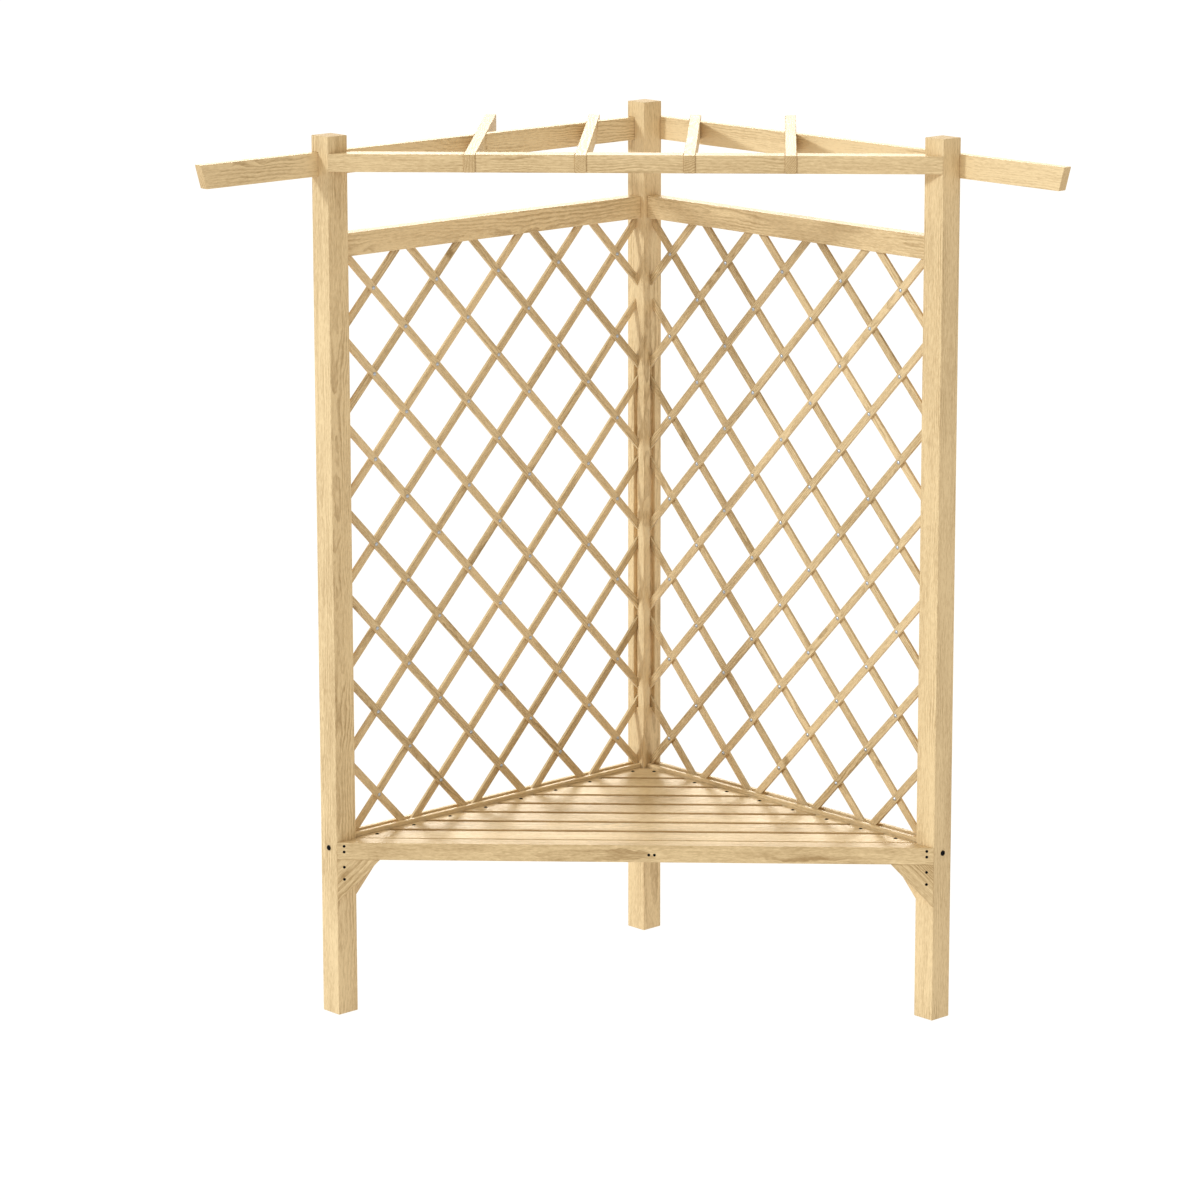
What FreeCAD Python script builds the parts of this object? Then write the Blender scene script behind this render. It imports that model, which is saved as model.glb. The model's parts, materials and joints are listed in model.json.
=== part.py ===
import FreeCAD, Part
import math
import os
import re

# Corner arbour seat of unstained pine: three square posts turned by 45 degrees, two trellis
# walls that meet at a right angle behind a slatted seat, and an open roof of rafters.
# Millimetres. +Z is up, +X is to the right seen from the front, and the front faces -Y.
# The origin is on the ground, in the middle of the overall box.
# A wall has its own directions: along it from the front post's middle to the back post's
# middle, and outward from the middle of the posts, away from the seat.

doc = FreeCAD.newDocument("arbour_seat")

# Driving sizes

SIZES = (
    ("SeatFront", 1400, "width over the outer corners of the front posts"),
    ("SeatHeight", 399, "top of the slats above the ground"),
    ("PostSide", 55, "side of a square post"),
    ("PostHeight", 1971, "length of a post"),
    ("RoofWidth", 1849, "width over the tips of the roof side rails"),
    ("RoofDrop", 36.5, "tops of the rafters below the post tops"),
    ("RoofRailThick", 22, "thickness of a roof side rail"),
    ("RoofRailTall", 52, "height of a roof side rail"),
    ("RoofRailBevel", 15, "how much further the tip's top reaches than its bottom"),
    ("RightHousing", 3, "depth of the right rail's housing in its posts"),
    ("BeamDeep", 48, "depth of the roof front beam"),
    ("RafterWide", 25, "width of a rafter"),
    ("RafterTall", 39, "height of a rafter and of the roof front beam"),
    ("RafterNose", 8, "thickness of the rafter's nose in the beam's front face"),
    ("RafterProud", 2, "how far the noses stand in front of the beam"),
    ("RafterInner", 117, "middle of the two inner rafters from the middle of the seat"),
    ("RafterFarLeft", 356, "middle of the far left rafter from the middle of the seat"),
    ("RafterFarRight", 335, "middle of the far right rafter from the middle of the seat"),
    ("PanelRailThick", 35, "thickness of the rails above and below the trellis"),
    ("PanelRailTall", 51, "height of the rails above and below the trellis"),
    ("PanelDrop", 216, "top of the panel's top rail below the post tops"),
    ("SideRailRise", 8.6, "top of the seat's side rail above the slats"),
    ("GrooveSlack", 1, "room for the two laths across their groove"),
    ("RailGrooveDeep", 18, "depth of the trellis groove in a rail"),
    ("PostGrooveDeep", 10, "depth of the trellis groove in a post"),
    ("PostGrooveLow", 542, "lower end of the groove in a post"),
    ("PostGrooveHigh", 1373, "upper end of the groove in a post"),
    ("LathWide", 17, "width of a lath"),
    ("LathThick", 7, "thickness of a lath"),
    ("CellAlong", 91.1, "half a trellis cell along the wall"),
    ("CellTall", 95.6, "half a trellis cell in height"),
    ("FirstColumn", 86.5, "first column of rivets from the front post"),
    ("FirstRow", 71.2, "lowest rivets above the seat's side rail"),
    ("RivetHead", 9, "diameter of a rivet's dome"),
    ("RivetDome", 2.5, "height of a rivet's dome"),
    ("RivetShank", 3, "diameter of a rivet's shank"),
    ("RivetFoot", 1, "thickness of a rivet's closed end"),
    ("SlatWide", 65, "width of a slat"),
    ("SlatThick", 16, "thickness of a slat"),
    ("SlatGap", 11, "gap between two slats"),
    ("FrontGap", 3, "gap between the front rail and the first slat"),
    ("SlatEndGap", 1, "gap between a slat's end and the side rail"),
    ("FrontRailDeep", 40, "depth of the seat's front rail"),
    ("FrontRailTall", 39, "height of the seat's front rail"),
    ("LedgerWide", 30, "width of the ledger under the slats' ends"),
    ("BearerWide", 30, "width of the middle bearer under the slats"),
    ("BearerSide", 37, "middle of the bearer, right of the middle of the seat"),
    ("BracketWide", 95, "length of a corner bracket along its rail"),
    ("BracketTall", 100, "length of a corner bracket down its post"),
    ("BracketThick", 35, "thickness of a corner bracket"),
    ("HoleSlack", 0.1, "room around a fastener in its hole"),
    ("HeadSink", 0.3, "screw heads below the face they are driven into"),
    ("ScrewShank", 4, "diameter of the screws"),
    ("SlatScrewHead", 9.5, "head diameter of the slat screws"),
    ("SlatScrewLong", 36, "length of the slat screws"),
    ("SlatScrewInset", 33, "slat screws inward from the middle of the wall"),
    ("LastScrewSide", 25, "screws of the backmost slat from the middle of the seat"),
    ("FrontScrewHead", 6.5, "head diameter of all other screws"),
    ("FrontScrewLong", 45, "length of the screws at the ends of the front rail"),
    ("FrontScrewInset", 16, "front screws inward from the post's front corner"),
    ("FrontScrewHigh", 8, "upper screw of the front rail below the seat's top"),
    ("FrontScrewLow", 21, "lower screw of the front rail below the seat's top"),
    ("BracketScrewHigh", 17, "upper screw of a front bracket below the rail"),
    ("BracketScrewLow", 45, "lower screw of a front bracket below the rail"),
    ("BracketRiser", 60, "upright screw of a side bracket from the post"),
    ("BracketRiserSeat", 30, "head of the upright screw below the side rail"),
    ("BracketCross", 55, "level screw of a side bracket below the side rail"),
    ("BracketCrossSeat", 32, "head of the level screw from the post"),
    ("BracketScrewLong", 48, "length of the side brackets' screws"),
    ("BearerScrewStep", 12.5, "distance between the two bearer screws"),
    ("BearerScrewDrop", 22, "bearer screws below the seat's top"),
    ("BearerScrewLong", 65, "length of the bearer screws"),
    ("LedgerScrewFirst", 92, "first ledger screw from the ledger's front end"),
    ("LedgerScrewStep", 215, "distance between two ledger screws"),
    ("LedgerScrewLong", 46, "length of the ledger screws"),
    ("RailScrewHigh", 14, "upper roof rail screw below the rail's top"),
    ("RailScrewLow", 38, "lower roof rail screw below the rail's top"),
    ("RailScrewHold", 12, "how far the roof rail screws reach into a post"),
    ("RailScrewBack", 10, "roof rail screws in front of the back post's middle"),
    ("RafterScrewHold", 13, "how far the rafter screws reach into a rafter"),
    ("BoltHead", 12, "head diameter of the side rail bolts"),
    ("BoltHeadTall", 3, "height of a bolt head"),
    ("BoltShank", 6, "diameter of the side rail bolts"),
    ("BoltHold", 35, "how far the bolts reach into a side rail"),
    ("BoltDrop", 17, "bolts below the seat's top"),
    ("BackBoltStep", 9, "how much lower the right bolt crosses the back post"),
    ("DowelWide", 8, "diameter of the dowels"),
    ("DowelHalf", 20, "half the length of a dowel"),
)

# Places worked out from the driving sizes

PLACES = (
    ("PostHalf", "PostSide / 2", "half the post's side"),
    ("PostPoint", "PostSide / sqrt(2)", "post's corner from its middle"),
    ("PostX", "SeatFront / 2 - PostPoint", "middle of a front post from the middle"),
    ("WallLong", "PostX * sqrt(2)", "wall length between the post middles"),
    ("WallEnd", "WallLong - PostHalf", "back post's inner face along the wall"),
    ("BackY", "PostX + PostPoint", "back post's rear corner behind the front posts"),
    ("RoofTop", "PostHeight - RoofDrop", "top of the rafters, beam and roof rails"),
    ("RoofRailLow", "RoofTop - RoofRailTall", "underside of a roof side rail"),
    ("RafterLow", "RoofTop - RafterTall", "underside of a rafter"),
    ("LapLevel", "RoofTop - RafterTall / 2", "level at which crossing roof pieces meet"),
    ("LeftOuter", "PostHalf", "left roof rail's outer face"),
    ("LeftInner", "PostHalf - RoofRailThick", "left roof rail's inner face"),
    ("RightInner", "PostHalf - RightHousing", "right roof rail's inner face"),
    ("RightOuter", "RightInner + RoofRailThick", "right roof rail's outer face"),
    ("TipReach", "(RoofWidth / 2 - PostX) * sqrt(2)", "roof tip's outer corner past the post"),
    ("FrontY", "(LeftOuter + LeftInner - TipReach) / sqrt(2)", "foremost roof tip"),
    ("MiddleY", "(FrontY + BackY) / 2", "middle of the depth behind the front posts"),
    ("BeamBack", "BeamDeep - PostPoint", "rear face of the roof front beam"),
    ("NoseBack", "RafterNose - PostPoint", "rear face of a rafter's nose"),
    ("PanelTop", "PostHeight - PanelDrop", "top of the panel's top rail"),
    ("PanelLow", "PanelTop - PanelRailTall", "underside of the panel's top rail"),
    ("SideRailTop", "SeatHeight + SideRailRise", "top of the seat's side rail"),
    ("SideRailLow", "SideRailTop - PanelRailTall", "underside of the seat's side rail"),
    ("RailHalf", "PanelRailThick / 2", "half the thickness of a panel or side rail"),
    ("GrooveHalf", "LathThick + GrooveSlack / 2", "half the width of a trellis groove"),
    ("SlatLow", "SeatHeight - SlatThick", "underside of the slats"),
    ("FrontRailBack", "FrontRailDeep - PostPoint", "rear face of the seat's front rail"),
    ("FrontRailLow", "SeatHeight - FrontRailTall", "underside of the seat's front rail"),
    ("SlatStart", "FrontRailBack + FrontGap", "front edge of the first slat"),
    ("SlatStep", "SlatWide + SlatGap", "distance from slat to slat"),
    ("SlatEnd", "PostX - PostPoint - SlatEndGap", "rear edge of the backmost slat"),
    ("SlatCorner", "PostX - (RailHalf + SlatEndGap) * sqrt(2)", "where slat ends would meet"),
    ("LedgerInner", "-RailHalf - LedgerWide", "ledger's inner face"),
    ("LedgerStart", "FrontRailBack * sqrt(2) - LedgerInner + SlatEndGap", "ledger's front end"),
    ("BoltLevel", "SeatHeight - BoltDrop", "middle of the side rail bolts"),
)


def add_sheet(name, rows, write):
    """A sheet with one row for each value: its name, the value under that alias, its meaning."""
    sheet = doc.addObject("Spreadsheet::Sheet", name)
    for row, (alias, value, meaning) in enumerate(rows, start=1):
        sheet.set("A%d" % row, alias)
        sheet.set("B%d" % row, write(value))
        sheet.setAlias("B%d" % row, alias)
        sheet.set("C%d" % row, meaning)
        sheet_of[alias] = name
    return sheet


def formula(text):
    """A formula over size names, written as an expression over the two sheets."""
    return re.sub(r"[A-Z]\w+", lambda name: sheet_of[name.group()] + "." + name.group(), text)


sheet_of = {}
sizes = add_sheet("Sizes", SIZES, str)
places = add_sheet("Places", PLACES, lambda text: "=" + formula(text))
doc.recompute()
size = {alias: float(sizes.get(alias)) for alias, number, meaning in SIZES}
size.update({alias: float(places.get(alias)) for alias, text, meaning in PLACES})

parts = {}
SIDES = ("left", "right")
WALL_YAW = {"left": 45, "right": 135}


# Primitives bound to the sheets

def bind(piece, properties):
    """Bind each property to a formula over the size names."""
    for name, text in properties.items():
        piece.setExpression(name, formula(text))


def place(piece, corner, yaw, roll):
    """Turn a piece and bind its corner to three formulas."""
    turn = FreeCAD.Rotation(yaw, 0, roll)
    piece.Placement = FreeCAD.Placement(FreeCAD.Vector(), turn)
    bind(piece, {"Placement.Base." + axis: text for axis, text in zip("xyz", corner)})


def box(name, length, width, height, corner, yaw=0):
    """A square-cut board or cutter."""
    piece = doc.addObject("Part::Box", name)
    bind(piece, {"Length": length, "Width": width, "Height": height})
    place(piece, corner, yaw, 0)
    return piece


def sloped(name, edge_one, edge_two, across, thick, corner, yaw=0, roll=0):
    """A board with sloping ends: where each of its two long edges starts and stops."""
    piece = doc.addObject("Part::Wedge", name)
    bind(piece, {
        "Xmin": edge_one[0], "Xmax": edge_one[1],
        "X2min": edge_two[0], "X2max": edge_two[1],
        "Ymin": across[0], "Ymax": across[1],
        "Zmin": thick[0], "Zmax": thick[1],
        "Z2min": thick[0], "Z2max": thick[1],
    })
    place(piece, corner, yaw, roll)
    return piece


def wall_corner(side, along, outward):
    """The x and y formulas of a point on a side wall."""
    step = "((%s) - (%s)) / sqrt(2)" % (along, outward)
    x = "-PostX + " + step if side == "left" else "PostX - " + step
    y = "((%s) + (%s)) / sqrt(2) - MiddleY" % (along, outward)
    return x, y


def wall_box(name, side, along, outward, height):
    """A box between two places along a wall, two outward and two in height."""
    near = outward[0] if side == "left" else outward[1]
    corner = wall_corner(side, along[0], near) + (height[0],)
    spans = ["(%s) - (%s)" % (span[1], span[0]) for span in (along, outward, height)]
    return box(name, spans[0], spans[1], spans[2], corner, WALL_YAW[side])


def cut(name, base, tools):
    """The base with each tool cut away in turn."""
    for number, tool in enumerate(tools, start=1):
        last = number == len(tools)
        piece = doc.addObject("Part::Cut", name if last else "%s_cut_%d" % (name, number))
        piece.Base = base
        piece.Tool = tool
        base = piece
    return base


def common(name, base, tool):
    """What two solids share."""
    piece = doc.addObject("Part::Common", name)
    piece.Base = base
    piece.Tool = tool
    return piece


def keep(name, piece):
    """Name a finished sub-part, which also names its file."""
    piece.Label = name
    parts[name] = piece


def shaped(name, shape):
    """A sub-part or a cutter whose shape is worked out here."""
    piece = doc.addObject("Part::Feature", name)
    piece.Shape = shape
    return piece


# Points and fasteners

def wall_point(side, along, outward, height):
    """A point on a side wall."""
    x = (along - outward) / math.sqrt(2) - size["PostX"]
    if side == "right":
        x = -x
    return FreeCAD.Vector(x, (along + outward) / math.sqrt(2) - size["MiddleY"], height)


def wall_way(side, along, outward):
    """A direction on a side wall."""
    across = (along - outward) / math.sqrt(2)
    if side == "right":
        across = -across
    return FreeCAD.Vector(across, (along + outward) / math.sqrt(2), 0)


def revolved(profile):
    """A solid turned about Z from points of radius and height, closed along the axis."""
    points = [FreeCAD.Vector(radius, 0, height) for radius, height in profile]
    face = Part.Face(Part.makePolygon(points + points[:1]))
    return face.revolve(FreeCAD.Vector(), FreeCAD.Vector(0, 0, 1), 360)


def screw(head, long, slack, access):
    """A countersunk screw driven along +Z from its head's flat, or with slack its hole."""
    head_radius = head / 2 + slack
    radius = size["ScrewShank"] / 2 + slack
    neck = head_radius - radius
    point = long - size["ScrewShank"] + slack
    profile = [(0, -access), (head_radius, -access), (head_radius, slack), (radius, neck + slack)]
    profile += [(radius, point), (0, long + slack)]
    if not access:
        profile = [(0, 0), (head_radius, 0)] + profile[3:]
    return revolved(profile)


def bolt(long, slack, access):
    """A bolt with a low domed head above Z = 0, or with slack its hole."""
    radius = size["BoltShank"] / 2 + slack
    shank = revolved([(0, 0), (radius, 0), (radius, long + slack), (0, long + slack)])
    if access:
        return shank
    rim = size["BoltHead"] / 2
    tall = size["BoltHeadTall"]
    flat = rim / 2
    head = revolved([(0, 0), (rim, 0), (rim, -tall / 3), (flat, -tall), (0, -tall)])
    return shank.fuse(head).removeSplitter()


def dowel(slack, access):
    """A plain dowel with its middle at Z = 0, or with slack its hole."""
    half = size["DowelHalf"] + slack
    radius = size["DowelWide"] / 2 + slack
    return revolved([(0, -half), (radius, -half), (radius, half), (0, half)])


def driven(shape, point, way):
    """A fastener moved to its point and turned from +Z to its way."""
    turn = FreeCAD.Rotation(FreeCAD.Vector(0, 0, 1), way)
    placed = shape.copy()
    placed.Placement = FreeCAD.Placement(point, turn)
    return placed


def fasteners(name, make, spots, access=1):
    """One sub-part of equal fasteners, whose holes join the holes of the others."""
    solid = make(0, 0)
    hole = make(size["HoleSlack"], access)
    keep(name, shaped(name, Part.makeCompound([driven(solid, *spot) for spot in spots])))
    holes.extend(driven(hole, *spot) for spot in spots)


def screws(name, head, long, spots, access=1):
    """One sub-part of equal screws with their heads sunk a little."""
    sunk = [(point + way * size["HeadSink"], way) for point, way in spots]
    fasteners(name, lambda slack, reach: screw(head, long, slack, reach), sunk, access)


holes = []
up = FreeCAD.Vector(0, 0, 1)
down = FreeCAD.Vector(0, 0, -1)
rearward = FreeCAD.Vector(0, 1, 0)
small_head = size["FrontScrewHead"]
root = math.sqrt(2)

slat_room = size["SlatEnd"] - size["SlatStart"]
slat_count = max(2, round(slat_room / size["SlatStep"]))
slat_numbers = range(1, slat_count + 1)
rafter_spots = {
    "rafter_far_left": ("left", -1, "RafterFarLeft"),
    "rafter_left": ("left", -1, "RafterInner"),
    "rafter_right": ("right", 1, "RafterInner"),
    "rafter_far_right": ("right", 1, "RafterFarRight"),
}
rail_faces = {"left": ("LeftInner", "LeftOuter"), "right": ("RightInner", "RightOuter")}


# Fasteners of the seat

def slat_screw_spots():
    """Two screws in each slat, over the ledgers."""
    spots = []
    inset = size["SlatScrewInset"]
    for number in slat_numbers[:-1]:
        middle = size["SlatStart"] + (number - 1) * size["SlatStep"] + size["SlatWide"] / 2
        spots += [(side, middle * root + inset) for side in SIDES]
    last = (size["PostX"] - size["LastScrewSide"]) * root - inset
    spots += [(side, last) for side in SIDES]
    top = size["SeatHeight"]
    return [(wall_point(side, along, -inset, top), down) for side, along in spots]


def front_spots(levels):
    """Screws driven straight back through the front boards' mitres into the posts."""
    x = size["PostX"] - size["FrontScrewInset"]
    y = -size["PostPoint"] - size["MiddleY"]
    places_across = [(-x, level) for level in levels] + [(x, level) for level in levels]
    return [(FreeCAD.Vector(across, y, level), rearward) for across, level in places_across]


def side_bracket_spots(side):
    """An upright screw into the side rail and a level one into the post."""
    rail = size["SideRailLow"]
    post = size["PostHalf"]
    riser = wall_point(side, post + size["BracketRiser"], 0, rail - size["BracketRiserSeat"])
    cross_height = rail - size["BracketCross"]
    cross = wall_point(side, post + size["BracketCrossSeat"], 0, cross_height)
    return [(riser, up), (cross, wall_way(side, -1, 0))]


def bearer_spots():
    """Two screws side by side through the front rail."""
    y = -size["PostPoint"] - size["MiddleY"]
    z = size["SeatHeight"] - size["BearerScrewDrop"]
    half = size["BearerScrewStep"] / 2
    across = (size["BearerSide"] - half, size["BearerSide"] + half)
    return [(FreeCAD.Vector(x, y, z), rearward) for x in across]


def ledger_spots(side):
    """Screws from the ledger into the side rail."""
    height = (size["SlatLow"] + size["SideRailLow"]) / 2
    along = size["LedgerStart"] + size["LedgerScrewFirst"]
    spots = []
    while along < size["WallEnd"] - size["LedgerWide"] - size["LedgerScrewFirst"]:
        point = wall_point(side, along, size["LedgerInner"], height)
        spots.append((point, wall_way(side, 0, 1)))
        along += size["LedgerScrewStep"]
    return spots


def bolt_spots():
    """Bolts through the posts into both ends of the side rails."""
    spots = []
    level = size["BoltLevel"]
    back_levels = {"left": level, "right": level - size["BackBoltStep"]}
    for side in SIDES:
        front = wall_point(side, -size["PostHalf"], 0, level)
        back = wall_point(side, size["WallLong"] + size["PostHalf"], 0, back_levels[side])
        spots += [(front, wall_way(side, 1, 0)), (back, wall_way(side, -1, 0))]
    return spots


def seat_fasteners():
    screws("slat_screws", size["SlatScrewHead"], size["SlatScrewLong"], slat_screw_spots())
    top = size["SeatHeight"]
    rail_levels = (top - size["FrontScrewHigh"], top - size["FrontScrewLow"])
    screws("front_rail_screws", small_head, size["FrontScrewLong"], front_spots(rail_levels))
    low = size["FrontRailLow"]
    bracket_levels = (low - size["BracketScrewHigh"], low - size["BracketScrewLow"])
    screws("front_bracket_screws", small_head, size["FrontScrewLong"],
           front_spots(bracket_levels))
    screws("side_bracket_screws", small_head, size["BracketScrewLong"],
           side_bracket_spots("left") + side_bracket_spots("right"),
           access=max(size["BracketWide"], size["BracketTall"]))
    screws("bearer_screws", small_head, size["BearerScrewLong"], bearer_spots())
    screws("ledger_screws", small_head, size["LedgerScrewLong"],
           ledger_spots("left") + ledger_spots("right"))
    bolt_long = size["PostSide"] + size["BoltHold"]
    fasteners("side_rail_bolts", lambda slack, reach: bolt(bolt_long, slack, reach),
              bolt_spots())


# Fasteners of the roof and the panels

def roof_rail_spots(side):
    """Two screws one above the other into each post, from the rail's outer face."""
    outer = size[rail_faces[side][1]]
    levels = [size["RoofTop"] - size[name] for name in ("RailScrewHigh", "RailScrewLow")]
    stations = (0, size["WallLong"] - size["RailScrewBack"])
    way = wall_way(side, 0, -1)
    return [(wall_point(side, along, outer, level), way) for along in stations
            for level in levels]


def rafter_rail_spots():
    """A screw up through a roof side rail into the rafter that crosses it."""
    spots = []
    for side, sign, across in rafter_spots.values():
        x = sign * size[across]
        faces = [size[name] for name in rail_faces[side]]
        y = size["PostX"] - abs(x) + sum(faces) / 2 * root - size["MiddleY"]
        spots.append((FreeCAD.Vector(x, y, size["RoofRailLow"]), up))
    return spots


def rafter_beam_spots():
    """A screw up through the roof front beam into each rafter."""
    y = (size["NoseBack"] + size["BeamBack"]) / 2 - size["MiddleY"]
    across = [sign * size[name] for side, sign, name in rafter_spots.values()]
    return [(FreeCAD.Vector(x, y, size["RafterLow"]), up) for x in across]


def panel_dowel_spots():
    """A dowel at each end of the panels' top rails, above their groove."""
    level = size["PanelTop"] - (size["PanelRailTall"] - size["RailGrooveDeep"]) / 2
    stations = (size["PostHalf"], size["WallEnd"])
    return [(wall_point(side, along, 0, level), wall_way(side, 1, 0))
            for side in SIDES for along in stations]


def beam_dowel_spots():
    """A dowel square to each mitre of the roof front beam."""
    level = size["RoofTop"] - size["RafterTall"] / 2
    return [(wall_point(side, 0, -size["PostHalf"], level), wall_way(side, 0, 1))
            for side in SIDES]


def roof_fasteners():
    long = size["RoofRailThick"] + size["RailScrewHold"]
    screws("roof_rail_screws", small_head, long,
           roof_rail_spots("left") + roof_rail_spots("right"))
    hold = size["LapLevel"] + size["RafterScrewHold"]
    screws("rafter_rail_screws", small_head, hold - size["RoofRailLow"], rafter_rail_spots())
    screws("rafter_beam_screws", small_head, hold - size["RafterLow"], rafter_beam_spots())
    fasteners("panel_rail_dowels", dowel, panel_dowel_spots())
    fasteners("roof_beam_dowels", dowel, beam_dowel_spots())


# Posts, rails and beams

def roof_rail_blank(side):
    """A roof side rail before its notches: on edge, bevelled at the free tip."""
    inner, outer = rail_faces[side]
    tip = "-(TipReach - %s)" % outer
    end = "WallLong + PostHalf" if side == "left" else "WallLong + LeftInner"
    start_face = outer if side == "left" else inner
    corner = wall_corner(side, "0", start_face) + ("RoofRailLow",)
    return sloped(side + "_roof_rail_blank", (tip + " + RoofRailBevel", end), (tip, end),
                  ("0", "RoofRailTall"), ("0", "RoofRailThick"), corner,
                  WALL_YAW[side], 90)


def post(name, side, station, tools):
    """A square post with its faces along the two walls."""
    near = ("%s - PostHalf" % station, "%s + PostHalf" % station)
    blank = wall_box(name + "_blank", side, near, ("-PostHalf", "PostHalf"),
                     ("0", "PostHeight"))
    keep(name, cut(name, blank, tools))


def post_groove(name, side, near, far):
    """The stopped groove that takes the trellis in a post's inner face."""
    return wall_box(name, side, (near, far), ("-GrooveHalf", "GrooveHalf"),
                    ("PostGrooveLow", "PostGrooveHigh"))


def posts(rails, all_holes):
    grooves = {}
    for side in SIDES:
        grooves[side] = post_groove(side + "_front_groove", side, "PostHalf - PostGrooveDeep",
                                    "PostHalf")
        grooves[side + "_back"] = post_groove(side + "_back_groove", side, "WallEnd",
                                              "WallEnd + PostGrooveDeep")
        post(side + "_front_post", side, "0", [rails[side], grooves[side], all_holes])
    back_tools = [rails["left"], rails["right"], grooves["left_back"], grooves["right_back"]]
    post("back_post", "left", "WallLong", back_tools + [all_holes])


def grooved_rail(name, side, low, high, groove, all_holes):
    """A rail between two posts with a groove for the trellis."""
    between = ("PostHalf", "WallEnd")
    blank = wall_box(name + "_blank", side, between, ("-RailHalf", "RailHalf"), (low, high))
    channel = wall_box(name + "_groove", side, between, ("-GrooveHalf", "GrooveHalf"), groove)
    keep(name, cut(name, blank, [channel, all_holes]))


def wall_rails(all_holes):
    for side in SIDES:
        grooved_rail(side + "_panel_top_rail", side, "PanelLow", "PanelTop",
                     ("PanelLow", "PanelLow + RailGrooveDeep"), all_holes)
        grooved_rail(side + "_seat_side_rail", side, "SideRailLow", "SideRailTop",
                     ("SideRailTop - RailGrooveDeep", "SideRailTop"), all_holes)


def mitred_bar(name, deep, low, high):
    """A bar between the front posts, its ends mitred against their turned faces."""
    return sloped(name, ("-PostX", "PostX"), ("%s - PostX" % deep, "PostX - %s" % deep),
                  ("-PostPoint", "%s - PostPoint" % deep), (low, high),
                  ("0", "-MiddleY", "0"))


def rafter_bar(name, sign, across, front, back, low, high):
    """A bar as wide as a rafter, from front to back over its middle line."""
    return box(name, "RafterWide", "(%s) - (%s)" % (back, front), "(%s) - (%s)" % (high, low),
               ("%d * %s - RafterWide / 2" % (sign, across), "(%s) - MiddleY" % front, low))


def roof(rails, all_holes):
    """Front beam, side rails and rafters, halved into each other."""
    beam_notches = []
    rail_notches = {"left": [], "right": []}
    for name, (side, sign, across) in rafter_spots.items():
        lap = rafter_bar(name + "_lap", sign, across, "-PostPoint", "BackY", "LapLevel",
                         "RoofTop")
        nose = rafter_bar(name + "_nose", sign, across, "-PostPoint", "NoseBack",
                          "RafterLow", "LapLevel")
        beam_notches += [lap, nose]
        rail_notches[side].append(lap)
        bar = rafter_bar(name + "_bar", sign, across, "-PostPoint - RafterProud", "BackY",
                         "RafterLow", "RoofTop")
        seat = rafter_bar(name + "_seat", sign, across, "NoseBack", "BeamBack", "RafterLow",
                          "LapLevel")
        inner, outer = rail_faces[side]
        notch = wall_box(name + "_notch", side, ("PostHalf", "WallLong"), (inner, outer),
                         ("RafterLow", "LapLevel"))
        keep(name, cut(name, bar, [seat, notch, all_holes]))
    beam = mitred_bar("roof_front_beam_blank", "BeamDeep", "RafterLow", "RoofTop")
    keep("roof_front_beam", cut("roof_front_beam", beam, beam_notches + [all_holes]))
    for side in SIDES:
        name = side + "_roof_rail"
        keep(name, cut(name, rails[side], rail_notches[side] + [all_holes]))


# Seat

def seat_slats(all_holes):
    """Slats across the seat, each end cut along its wall, the backmost one fitted."""
    front_posts = [wall_box(side + "_post_clearance", side,
                            ("-PostHalf", "PostHalf + SlatEndGap"),
                            ("-PostHalf - SlatEndGap", "PostHalf"),
                            ("SlatLow", "SeatHeight")) for side in SIDES]
    for number in slat_numbers:
        front = "SlatStart + %d * SlatStep" % (number - 1)
        back = "SlatEnd" if number == slat_count else front + " + SlatWide"
        name = "seat_slat_%d" % number
        blank = sloped(name + "_blank",
                       ("(%s) - SlatCorner" % front, "SlatCorner - (%s)" % front),
                       ("(%s) - SlatCorner" % back, "SlatCorner - (%s)" % back),
                       (front, back), ("SlatLow", "SeatHeight"), ("0", "-MiddleY", "0"))
        tools = front_posts + [all_holes] if number == 1 else [all_holes]
        keep(name, cut(name, blank, tools))


def slat_supports(all_holes):
    """Front rail, the two ledgers and the middle bearer."""
    front = mitred_bar("seat_front_rail_blank", "FrontRailDeep", "FrontRailLow", "SeatHeight")
    keep("seat_front_rail", cut("seat_front_rail", front, [all_holes]))
    ends = {"left": "WallEnd", "right": "WallLong + LedgerInner"}
    for side in SIDES:
        name = side + "_slat_ledger"
        blank = wall_box(name + "_blank", side, ("LedgerStart", ends[side]),
                         ("LedgerInner", "-RailHalf"), ("SideRailLow", "SlatLow"))
        keep(name, cut(name, blank, [all_holes]))
    ledger_line = "PostX + LedgerInner * sqrt(2)"
    right_face = "(BearerSide + BearerWide / 2)"
    left_face = "(BearerSide - BearerWide / 2)"
    bearer = sloped("seat_middle_bearer_blank",
                    ("FrontRailBack", "%s - %s" % (ledger_line, right_face)),
                    ("FrontRailBack", "%s - %s" % (ledger_line, left_face)),
                    ("0", "BearerWide"), ("SideRailLow", "SlatLow"),
                    (right_face, "-MiddleY", "0"), 90, 0)
    keep("seat_middle_bearer", cut("seat_middle_bearer", bearer, [all_holes]))


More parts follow.
